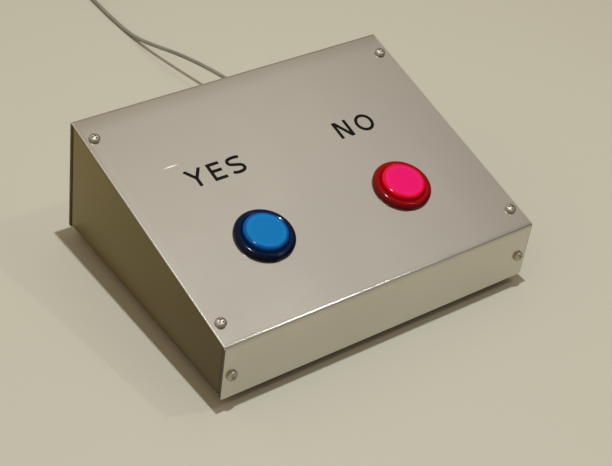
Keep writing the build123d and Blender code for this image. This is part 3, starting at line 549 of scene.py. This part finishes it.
def crossHead(name, shape, place, turn, rings=40, segments=96):
    # the dome is an ellipse, z = rim + rise sqrt(1 - (r / R)^2), and the cross sinks along x and y by
    # depth times how far a point lies inside an arm, and less towards the arm's end
    detail = screwDetail
    headRadius, rim = shape["headRadius"], shape["rimHeight"]
    shank, tip = shape["shankRadius"], -shape["length"]
    even = np.linspace(0, detail["evenReach"], rings)
    closer = np.sin(np.linspace(math.asin(detail["evenReach"]), math.pi / 2, detail["rimRings"]))
    reach = np.concatenate([even, closer[1:]])
    height = rim + (shape["headHeight"] - rim) * np.sqrt(np.clip(1 - reach ** 2, 0, 1))
    side = roundedOutline([(headRadius, rim), (headRadius, 0, detail["headEdge"]), (shank, 0),
                           (shank, tip + detail["tipEdge"]), (shank - detail["tipEdge"], tip), (0, tip)], 4)
    outline = np.concatenate([np.stack([reach * headRadius, height], axis=1), side[1:]])
    points = turnedPoints(outline, segments)
    x, y = points[..., 0], points[..., 1]
    armX = np.minimum(shape["crossHalfWidth"] - abs(y), shape["crossArm"] - abs(x))
    armY = np.minimum(shape["crossHalfWidth"] - abs(x), shape["crossArm"] - abs(y))
    inside = np.clip(np.maximum(armX, armY) / detail["crossWall"] + 0.5, 0, 1)
    taper = 1 - detail["crossTaper"] * np.clip(np.hypot(x, y) / shape["crossArm"], 0, 1)
    onDome = np.arange(len(outline))[:, None] < len(reach)
    points[..., 2] -= np.where(onDome, inside * taper * shape["crossDepth"], 0)
    return gridPiece(name, points, place @ Matrix.Rotation(math.radians(turn), 4, "Z"), detail["sharpAngle"])


screwPlaces = {
    "x": 0.0944,
    "upFromFront": 0.0135,      # panel screws, from the front bend and from the back bend
    "downFromBack": 0.0158,
    "height": 0.020,            # front and back screws
    "panelTurns": (24, 67, 8, 41),
    "frontTurns": (38, 12),
    "backTurns": (55, 19),
}
# painted light: the front and back screws take a paler copy of the screw plating, the panel screws the darker
# one
litCopyPlating = platedSteel("litCopyScrewPlating", (0.62, 0.58, 0.48), 0.42)


def makeScrews(name, places, turns, finish, node):
    heads = [crossHead("screw", screwShape, place, turn) for place, turn in zip(places, turns)]
    settle(joinPieces(name, heads), finish, "screw_steel", "case", node)


def makeCaseScrews():
    s = screwPlaces
    sides, ups = (-s["x"], s["x"]), (s["upFromFront"], panelLength - s["downFromBack"])
    makeScrews("panelScrewHeads", [onPanel(x, up) for up in ups for x in sides], s["panelTurns"],
               finishes["screw_steel"], "panel_screws")
    makeScrews("frontScrewHeads", [onFront(x, s["height"]) for x in sides], s["frontTurns"], litCopyPlating,
               "front_screws")
    makeScrews("backScrewHeads", [onBack(x, s["height"]) for x in sides], s["backTurns"], litCopyPlating,
               "back_screws")


makeCaseScrews()
print("screws cut")

footShape = {
    "x": 0.078,
    "y": 0.054,
    "topRadius": 0.0075,
    "bottomRadius": 0.006,
    "height": 0.005,
    "pocketRadius": 0.0031,
    "seat": 0.0022,
    "holeRadius": 0.00165,
    "edge": 0.0003,
    "bottomEdge": 0.0009,
    "screw": {"headRadius": 0.0028, "headHeight": 0.0019, "rimHeight": 0.0007, "shankRadius": 0.00145,
              "length": 0.0063, "crossArm": 0.0017, "crossHalfWidth": 0.00036, "crossDepth": 0.001},
    "screwTurns": (30, 55, 80, 105),
}


def footPlaces(drop=0.0):
    x, y, z = footShape["x"], footShape["y"], caseShape["footHeight"] - drop
    return [Matrix.Translation((sx * x, sy * y, z)) for sx in (-1, 1) for sy in (-1, 1)]


def makeFeet():
    # a short cone with rounded edges and a pocket for the screw, turned round its axis
    s = footShape
    hole, pocket, bottom, seat = s["holeRadius"], s["pocketRadius"], -s["height"], -s["seat"]
    outline = roundedOutline([(hole, 0), (s["topRadius"], 0, s["edge"]),
                              (s["bottomRadius"], bottom, s["bottomEdge"]), (pocket, bottom, s["edge"]),
                              (pocket, seat), (hole, seat), (hole, 0)])
    feet = [turnedPiece("foot", outline, place, segments=64) for place in footPlaces()]
    settle(joinPieces("rubberFeet", feet), finishes["foot_rubber"], "foot_rubber", "case", "rubber_feet")
    down = Matrix.Rotation(math.pi, 4, "X")
    screws = [crossHead("footScrew", s["screw"], place @ down, turn, rings=24, segments=48)
              for place, turn in zip(footPlaces(s["seat"]), s["screwTurns"])]
    settle(joinPieces("footScrewHeads", screws), finishes["screw_steel"], "screw_steel", "case",
           "foot_screws")


makeFeet()
print("feet turned")

# Push buttons

buttonShape = {
    "x": 0.045,
    "up": 0.0507,
    "rimRadius": 0.0164,
    "rimHeight": 0.003,
    "crownAt": 0.42,            # share of the rim's width from its bore to its highest ring
    "rimFoot": 0.15,            # shares of the rim's height, at its edge and at its bore
    "rimInner": 0.74,
    "outerBulge": (0.27, 0.79),     # a point of each arc: share of its width, share of the rim's height
    "innerBulge": (0.5, 0.94),
    "boreRadius": 0.0123,
    "wideBoreRadius": 0.0132,
    "boreStep": -0.0041,
    "barrelRadius": 0.0148,
    "barrelLength": 0.018,
    "capRadius": 0.012,
    "capHeight": 0.005,
    "capBottom": -0.0044,
    "capWall": 0.0013,
    "capTop": 0.0015,
    "capRound": 0.00125,
    "capBulge": (0.7, 0.32),        # a point of its shoulder: shares of capRound, out and down
    "capCrown": 0.00008,
    "rings": 14,
    "segments": 160,
}


def makeRim(colour, place):
    # the dome is two arcs that meet at its crown, over a straight barrel with a stepped bore
    s = buttonShape
    outer, bore, top, end = s["rimRadius"], s["boreRadius"], s["rimHeight"], -s["barrelLength"]
    crown = bore + (outer - bore) * s["crownAt"]
    foot, inner = top * s["rimFoot"], top * s["rimInner"]
    outerMiddle = (outer - (outer - crown) * s["outerBulge"][0], top * s["outerBulge"][1])
    innerMiddle = (crown - (crown - bore) * s["innerBulge"][0], top * s["innerBulge"][1])
    dome = [arcThrough((outer, foot), outerMiddle, (crown, top), 2 * s["rings"]),
            arcThrough((crown, top), innerMiddle, (bore, inner), s["rings"])[1:]]
    below = [(bore, s["boreStep"]), (s["wideBoreRadius"], s["boreStep"]), (s["wideBoreRadius"], end),
             (s["barrelRadius"], end), (s["barrelRadius"], 0), (outer, 0), (outer, foot)]
    piece = turnedPiece(colour + "Rim", np.concatenate([*dome, below]), place, s["segments"], sharpAngle=50)
    return settle(piece, finishes[colour + "_rim"], colour + "_rim", "case", colour + "_bezel")


def makeCap(colour, place):
    # an open cup: its top sinks by crown (r / flat)^2, and one arc rounds its shoulder
    s = buttonShape
    radius, top, bottom, shoulder = s["capRadius"], s["capHeight"], s["capBottom"], s["capRound"]
    inside, roof = radius - s["capWall"], top - s["capTop"]
    flat = radius - shoulder
    reach = np.linspace(0, flat, s["rings"])
    crown = np.stack([reach, top - s["capCrown"] * (reach / flat) ** 2], axis=1)
    middle = (flat + shoulder * s["capBulge"][0], top - shoulder * s["capBulge"][1])
    rounded = arcThrough((flat, top - s["capCrown"]), middle, (radius, top - shoulder), s["rings"])[1:]
    rest = [(radius, bottom), (inside, bottom), (inside, roof), (0, roof)]
    piece = turnedPiece(colour + "Cap", np.concatenate([crown, rounded, rest]), place, s["segments"],
                        sharpAngle=45)
    return settle(piece, finishes[colour + "_cap"], colour + "_cap", colour + "_button",
                  colour + "_plunger_cap")


springShape = {
    "radius": 0.0052,
    "wire": 0.0004,
    "turns": 7,
    "low": -0.0155,
    "high": 0.0015,
    "pressed": 0.0026,
    "stepsPerTurn": 26,
    "wireSides": 10,
}


def makeSpring(colour, place):
    # centreline (R cos a, R sin a, climb a), and a small circle carried square to it
    s = springShape
    turn = np.linspace(0, 2 * np.pi * s["turns"], s["stepsPerTurn"] * s["turns"] + 1)
    radius, climb = s["radius"], (s["high"] - s["low"]) / (2 * np.pi * s["turns"])
    line = np.stack([radius * np.cos(turn), radius * np.sin(turn), s["low"] + climb * turn], axis=1)
    ahead = np.stack([-radius * np.sin(turn), radius * np.cos(turn), climb + 0 * turn], axis=1)
    ahead /= np.linalg.norm(ahead, axis=1)[:, None]
    outward = np.stack([np.cos(turn), np.sin(turn), 0 * turn], axis=1)
    across = np.cross(ahead, outward)
    ring = np.linspace(0, 2 * np.pi, s["wireSides"], endpoint=False)
    points = line[:, None] + s["wire"] * (np.cos(ring)[None, :, None] * outward[:, None]
                                          + np.sin(ring)[None, :, None] * across[:, None])
    piece = gridPiece(colour + "Spring", points, place, sharpAngle=60)
    settle(piece, finishes["spring_steel"], "spring_steel", "case", colour + "_return_spring")
    colour + "_button_press"
    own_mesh(piece)


# each plastic has a deep, a middle and a bright tone; the deep one is painted shade down the sides, the
# bright one a painted glow
buttonColours = {
    "blue": {
        "side": -1,
        "rim": (shown(0, 7, 30), shown(0, 12, 38), shown(0, 32, 74)),
        "cap": (shown(0, 74, 138), shown(0, 106, 164), shown(0, 116, 170)),
    },
    "red": {
        "side": 1,
        "rim": (shown(104, 0, 3), shown(122, 0, 4), shown(168, 0, 9)),
        "cap": (shown(210, 0, 36), shown(218, 4, 94), shown(222, 18, 100)),
    },
}
for colour, tones in buttonColours.items():
    spot = onPanel(tones["side"] * buttonShape["x"], buttonShape["up"])
    centre = tuple(spot.translation)
    finishes[colour + "_rim"] = clearPlastic(colour + "RimPlastic", centre, clearLook["rim"], *tones["rim"])
    finishes[colour + "_cap"] = clearPlastic(colour + "CapPlastic", centre, clearLook["cap"], *tones["cap"])
    makeRim(colour, spot)
    makeCap(colour, spot)
    makeSpring(colour, spot)
    print(colour, "button made")

# Lead: one line from the bush through the coil to the plug

leadShape = {
    "radius": 0.00125,
    "exit": (0.052, 0.076, 0.019),
    "coilCentre": (0.052, 0.316),
    "coilTurn": 0.030,
    "pitch": 0.00295,
    "layers": 4,
    "halfTurns": 5,
    "lastHalfTurns": 4.5,
    "pointsPerTurn": 16,
    "length": 1.3327,
    "plugStart": (0.0955, 0.32435, 0.004),
    "plugApproach": (0.009, -0.0042),
}


def freeRoute():
    # out of the bush, down to the table, and along it to the coil's left side, as in the CAD
    ex, ey, ez = leadShape["exit"]
    low = leadShape["radius"]
    return [
        (ex, ey, ez),
        (ex, ey + 0.021, ez),
        (ex - 0.0007, ey + 0.042, ez - 0.0006),
        (ex - 0.0026, ey + 0.0625, ez - 0.0018),
        (ex - 0.0058, ey + 0.0835, ez - 0.0031),
        (ex - 0.0116, ey + 0.1105, ez - 0.006),
        (ex - 0.0161, ey + 0.1365, 0.0065),
        (ex - 0.0182, ey + 0.1585, low),
        (ex - 0.0193, ey + 0.1845, low),
        (coilOuter()[0], ey + 0.2135, low),
        (coilOuter()[0], ey + 0.2375, low),
    ]


def coilOuter():
    s = leadShape
    outer = s["coilTurn"] / 2 + s["halfTurns"] * s["pitch"] / 4
    return s["coilCentre"][0] - outer, outer


def coilPoints():
    # r = outer -+ pitch a / 2 pi along each layer; in the half turn where it reverses, the line climbs
    s = leadShape
    step = 2 * math.pi / s["pointsPerTurn"]
    rate = s["pitch"] / (2 * math.pi)
    turned, radius, height = [0.0], [coilOuter()[1]], [s["radius"]]
    for layer in range(s["layers"]):
        sign = -1 if layer % 2 == 0 else 1
        halves = s["halfTurns"] if layer < s["layers"] - 1 else s["lastHalfTurns"]
        for _ in range(round(halves * math.pi / step)):
            turned.append(turned[-1] + step)
            radius.append(radius[-1] + sign * rate * step)
            height.append(height[-1])
        if layer == s["layers"] - 1:
            break
        count = round(math.pi / step)
        low, edge = height[-1], radius[-1]
        for k in range(1, count + 1):
            turned.append(turned[-1] + step)
            radius.append(edge + sign * rate * math.pi / 2 * math.sin(math.pi * k / count))
            height.append(low + s["pitch"] * (1 - math.cos(math.pi * k / count)) / 2)
    angle = math.pi - np.array(turned)
    wide = np.array(radius) / math.cos(step / 2)
    x = s["coilCentre"][0] + wide * np.cos(angle)
    y = s["coilCentre"][1] + wide * np.sin(angle)
    return np.stack([x, y, np.array(height)], axis=1).tolist()


def tailRoute(start):
    # off the coil, down to the table and into the plug
    x, y, z = start
    endX, endY, endZ = leadShape["plugStart"]
    alongX, alongY = leadShape["plugApproach"]
    return [
        (x + 0.010, y, z),
        (x + 0.021, y - 0.0018, z - 0.0034),
        (endX - alongX, endY - alongY, endZ),
        (endX, endY, endZ),
    ]


def makeLead():
    s = leadShape
    coil = coilPoints()
    last = (s["coilCentre"][0], s["coilCentre"][1] + coilOuter()[1] - s["pitch"] / 4, coil[-1][2])
    points = freeRoute() + coil[1:-1] + [last] + tailRoute(last)
    curve = bpy.data.curves.new("lead", "CURVE")
    curve.dimensions = "3D"
    spline = curve.splines.new("NURBS")
    spline.points.add(len(points) - 1)
    spline.points.foreach_set("co", np.array([(*p, 1) for p in points]).ravel())
    spline.order_u = 3
    spline.use_endpoint_u = True
    spline.resolution_u = 6
    curve.bevel_depth = s["radius"]
    curve.bevel_resolution = 4
    curve.use_fill_caps = True
    lead = placed("lead", curve)
    return settle(lead, finishes["cable_pvc"], "cable_pvc", "case", "cable", "cable_coil", "cable_tail")


bushShape = {
    "flangeRadius": 0.0065,
    "flange": 0.002,
    "neckRadius": 0.0047,
    "lockStep": 0.0005,         # how much smaller the inner flange is
    "edge": 0.0003,
    "flangeEdge": 0.0008,
    "bootLength": 0.0145,
    "bootRings": 81,
    "rootRadius": 0.0038,
    "tipRadius": 0.0022,
    "grooves": {"count": 5, "phase": 1.5 * math.pi, "gain": 1.6, "level": 0.5, "first": 0.1, "last": 0.95},
    "grooveDepth": 0.0006,
    "boreRadius": 0.0013,
}


def makeBush():
    # the boot tapers in a straight line, and each groove takes a rounded bite out of it
    s = bushShape
    bore, flange, neck, root = s["boreRadius"], s["flangeRadius"], s["neckRadius"], s["rootRadius"]
    lock, edge = flange - s["lockStep"], s["edge"]
    front, back = s["flange"], -caseShape["sheet"]
    along = np.linspace(0, 1, s["bootRings"])
    radius = root + (s["tipRadius"] - root) * along - s["grooveDepth"] * grooves(along, **s["grooves"])
    boot = np.stack([radius, front + along * s["bootLength"]], axis=1)
    inner = roundedOutline([(bore, back - front), (lock, back - front, edge), (lock, back), (neck, back),
                            (neck, 0), (flange, 0, edge), (flange, front, s["flangeEdge"]), (root, front)])
    end = [(bore, front + s["bootLength"]), (bore, back - front)]
    place = onBack(leadShape["exit"][0], leadShape["exit"][2])
    piece = turnedPiece("bush", np.concatenate([inner, boot, end]), place, segments=72, sharpAngle=40)
    return settle(piece, finishes["gland_rubber"], "gland_rubber", "case", "gland")


plugShape = {
    "boot": 0.011,
    "body": 0.017,
    "bodyStart": 0.0015,        # where the straight body starts, after the boot
    "bodyEnd": 0.001,           # rounding at its end, through a point this far from its corner:
    "bodyBulge": 0.0003,
    "tipRadius": 0.0018,
    "rootRadius": 0.003,
    "bodyRadius": 0.004,
    "bootGrooves": {"count": 4, "phase": 1.2, "gain": 1.5, "level": 0.4, "first": 0.08, "last": 0.95},
    "bootGrooveDepth": 0.0004,
    "bodyRibs": {"count": 9, "phase": 0.0, "gain": 1.5, "level": 0.0, "first": 0.12, "last": 0.72},
    "bodyRibDepth": 0.00018,
    "bootRings": 60,
    "bodyRings": 120,
    "bodyEndRings": 6,
    "jackRadius": 0.00175,      # of the contacts and of the rings flush between them
    "sleeve": 0.0082,
    "band": 0.0024,
    "gap": 0.0007,
    "tip": 0.003,
    "contactEdge": 0.0001,
    "waist": (0.72, 0.22, 0.0004),      # of the tip: share of its radius, share of its length, rounding
    "shoulder": (1.0, 0.5, 0.0006),
    "nose": (0.45, 1.0, 0.0005),
}


def turnedSet(name, outlines, place, slot, node):
    parts = [turnedPiece("part", outline, place, segments=48, sharpAngle=50) for outline in outlines]
    return settle(joinPieces(name, parts), finishes[slot], slot, "case", node)


def makePlug():
    # boot, ribbed body and contacts are profiles turned round the plug's own axis
    s = plugShape
    heading = math.atan2(leadShape["plugApproach"][1], leadShape["plugApproach"][0])
    place = (Matrix.Translation(leadShape["plugStart"]) @ Matrix.Rotation(heading, 4, "Z")
             @ Matrix.Rotation(math.pi / 2, 4, "Y"))
    grip, wide = s["boot"] + s["body"], s["bodyRadius"]
    along = np.linspace(0, 1, s["bootRings"])
    radius = s["tipRadius"] + (s["rootRadius"] - s["tipRadius"]) * along
    radius -= s["bootGrooveDepth"] * grooves(along, **s["bootGrooves"])
    boot = np.stack([radius, along * s["boot"]], axis=1)
    along = np.linspace(0, 1, s["bodyRings"])
    radius = wide - s["bodyRibDepth"] * grooves(along, **s["bodyRibs"])
    height = s["boot"] + s["bodyStart"] + along * (s["body"] - s["bodyStart"] - s["bodyEnd"])
    body = np.stack([radius, height], axis=1)
    end = arcThrough((wide, grip - s["bodyEnd"]), (wide - s["bodyBulge"], grip - s["bodyBulge"]),
                     (wide - s["bodyEnd"], grip), s["bodyEndRings"])[1:]
    outline = np.concatenate([[(0, 0)], boot, body, end, [(0, grip)]])
    holder = settle(turnedPiece("plugGrip", outline, place, segments=72, sharpAngle=50),
                    finishes["plug_plastic"], "plug_plastic", "case", "plug_grip")
    r, edge, tip = s["jackRadius"], s["contactEdge"], s["tip"]
    sleeveEnd = grip + s["sleeve"]
    bandStart = sleeveEnd + s["gap"]
    bandEnd = bandStart + s["band"]
    tipStart = bandEnd + s["gap"]
    nose = [(r * share, tipStart + tip * reach, rounding)
            for share, reach, rounding in (s["waist"], s["shoulder"], s["nose"])]
    contacts = turnedSet("plugContacts", [
        roundedOutline([(0, grip), (r, grip), (r, sleeveEnd, edge), (0, sleeveEnd)], 4),
        roundedOutline([(0, bandStart), (r, bandStart, edge), (r, bandEnd, edge), (0, bandEnd)], 4),
        roundedOutline([(0, tipStart), (r, tipStart, edge), *nose, (0, tipStart + tip)], 6),
    ], place, "nickel", "plug_contacts")
    rings = turnedSet("plugRings", [[(0, low), (r, low), (r, high), (0, high)]
                                    for low, high in ((sleeveEnd, bandStart), (bandEnd, tipStart))],
                      place, "plug_plastic", "plug_rings")
    return [holder, contacts, rings]


lead = makeLead()
leadPieces = makePlug() + [makeBush()]
print("lead laid")

# Every CAD node that still shows takes its own finish

slotOf = {entry["node"]: entry["material_slot"] for entry in frame["record"]["subparts"]}
for name, node in nodes.items():
    node.data.materials.clear()
    node.data.materials.append(finishes[slotOf[name]])
print("CAD nodes finished")

# Floor, light and camera

studio = {
    "floor": shown(184, 177, 157),
    "floorCloud": 0.985,
    "floorReach": 6,
    "world": (1.0, 0.85, 0.655),
    "worldStrength": 0.40,
    "worldLean": (-0.72, 0.52, 0.0),
    "patchEnd": (0.468, 0.236, 0.0),
    "patchLength": 0.95,
    "patchReach": (0.228, 0.252),
    "patchTint": (0.92, 0.94, 0.98),
    "patchStrength": 0.44,
    "lampAim": (0, 0, 0.03),
    "key": {"at": (0.001, 0.008, 1.193), "size": 0.03, "power": 11.1, "tint": (0.80, 0.89, 0.98)},
    "side": {"at": (0.50, -0.24, 0.98), "size": 0.03, "power": 1.1, "tint": (1.0, 0.95, 0.86)},
    "cameraAt": (-0.406905, -0.474987, 0.522935),
    "cameraAhead": (0.510105, 0.587485, -0.628215),
    "cameraRoll": 8.32,
    "lens": 86.22,
    "sensor": 36,
}


def makeFloor():
    reach, colour = studio["floorReach"], studio["floor"]
    corners = [(-reach, -reach, 0), (reach, -reach, 0), (reach, reach, 0), (-reach, reach, 0)]
    mesh = bpy.data.meshes.new("floor")
    mesh.from_pydata(corners, [], [(0, 1, 2, 3)])
    floor = placed("floor", mesh)
    finish = Finish("tableTop")
    cloud = finish.noise(scale=6, detail=2, roughness=0.5)
    finish.set(BaseColor=finish.blendColours(cloud, toned(colour, studio["floorCloud"]), colour),
               Roughness=0.55)
    mesh.materials.append(finish.material)


def makeLamp(name, facts):
    lamp = bpy.data.lights.new(name, "AREA")
    lamp.shape = "DISK"
    lamp.size = facts["size"]
    lamp.energy = facts["power"]
    lamp.color = facts["tint"]
    holder = placed(name, lamp)
    holder.location = facts["at"]
    aim = Vector(studio["lampAim"]) - Vector(facts["at"])
    holder.rotation_euler = aim.to_track_quat("-Z", "Y").to_euler()


def makeCamera():
    ahead = Vector(studio["cameraAhead"]).normalized()
    right = ahead.cross(Vector((0, 0, 1))).normalized()
    up = right.cross(ahead)
    roll = math.radians(studio["cameraRoll"])
    tiltedRight = right * math.cos(roll) + up * math.sin(roll)
    tiltedUp = up * math.cos(roll) - right * math.sin(roll)
    camera = bpy.data.cameras.new("photoCamera")
    camera.lens = studio["lens"]
    camera.sensor_width = studio["sensor"]
    camera.sensor_fit = "HORIZONTAL"
    camera.clip_start = 0.01
    camera.clip_end = 30
    holder = placed("photoCamera", camera)
    turn = Matrix((tiltedRight, tiltedUp, -ahead)).transposed().to_4x4()
    holder.matrix_world = Matrix.Translation(studio["cameraAt"]) @ turn
    bpy.context.scene.camera = holder


def makeWorld():
    # strength (1 + lean . direction), a little more light from the left, and one soft long patch, like a
    # bright ceiling: strength (1 - smoothstep(u u + v v)), u = (x - x0) / a, v = (y - y0 - s) / b, where
    # s = y - y0 kept between -length and 0
    world = bpy.data.worlds.new("studioWorld")
    world.use_nodes = True
    tree = world.node_tree
    sky = tree.nodes["Background"]
    sky.inputs["Color"].default_value = (*studio["world"], 1)
    direction = tree.nodes.new("ShaderNodeTexCoord").outputs["Generated"]
    lean = tree.nodes.new("ShaderNodeVectorMath")
    lean.operation = "DOT_PRODUCT"
    lean.inputs[1].default_value = studio["worldLean"]
    level = tree.nodes.new("ShaderNodeMath")
    level.operation = "MULTIPLY_ADD"
    level.inputs[1].default_value = studio["worldStrength"]
    level.inputs[2].default_value = studio["worldStrength"]
    tree.links.new(direction, lean.inputs[0])
    tree.links.new(lean.outputs["Value"], level.inputs[0])
    away, upper, along, rest, share, patch = (tree.nodes.new("ShaderNodeVectorMath") for _ in range(6))
    reachX, reachY = studio["patchReach"]
    for node, operation, value in (
            (away, "SUBTRACT", studio["patchEnd"]), (upper, "MAXIMUM", (0, -studio["patchLength"], 0)),
            (along, "MINIMUM", (0, 0, 0)), (rest, "SUBTRACT", (0, 0, 0)),
            (share, "MULTIPLY", (1 / reachX, 1 / reachY, 0)), (patch, "DOT_PRODUCT", (0, 0, 0))):
        node.operation = operation
        node.inputs[1].default_value = value
    glow = tree.nodes.new("ShaderNodeMapRange")
    glow.interpolation_type = "SMOOTHSTEP"
    glow.inputs["To Min"].default_value = studio["patchStrength"]
    glow.inputs["To Max"].default_value = 0
    soft = tree.nodes.new("ShaderNodeBackground")
    soft.inputs["Color"].default_value = (*studio["patchTint"], 1)
    both = tree.nodes.new("ShaderNodeAddShader")
    tree.links.new(direction, away.inputs[0])
    for before, after, socket in ((away, upper, 0), (upper, along, 0), (away, rest, 0), (along, rest, 1),
                                  (rest, share, 0), (share, patch, 0), (share, patch, 1)):
        tree.links.new(before.outputs["Vector"], after.inputs[socket])
    tree.links.new(patch.outputs["Value"], glow.inputs["Value"])
    tree.links.new(glow.outputs["Result"], soft.inputs["Strength"])
    tree.links.new(level.outputs["Value"], sky.inputs["Strength"])
    tree.links.new(sky.outputs["Background"], both.inputs[0])
    tree.links.new(soft.outputs["Background"], both.inputs[1])
    tree.links.new(both.outputs["Shader"], tree.nodes["World Output"].inputs["Surface"])
    bpy.context.scene.world = world


makeFloor()
for lampName in ("key", "side"):
    makeLamp(lampName, studio[lampName])
makeWorld()
makeCamera()
bpy.context.scene.view_settings.view_transform = "Standard"
print("studio set")
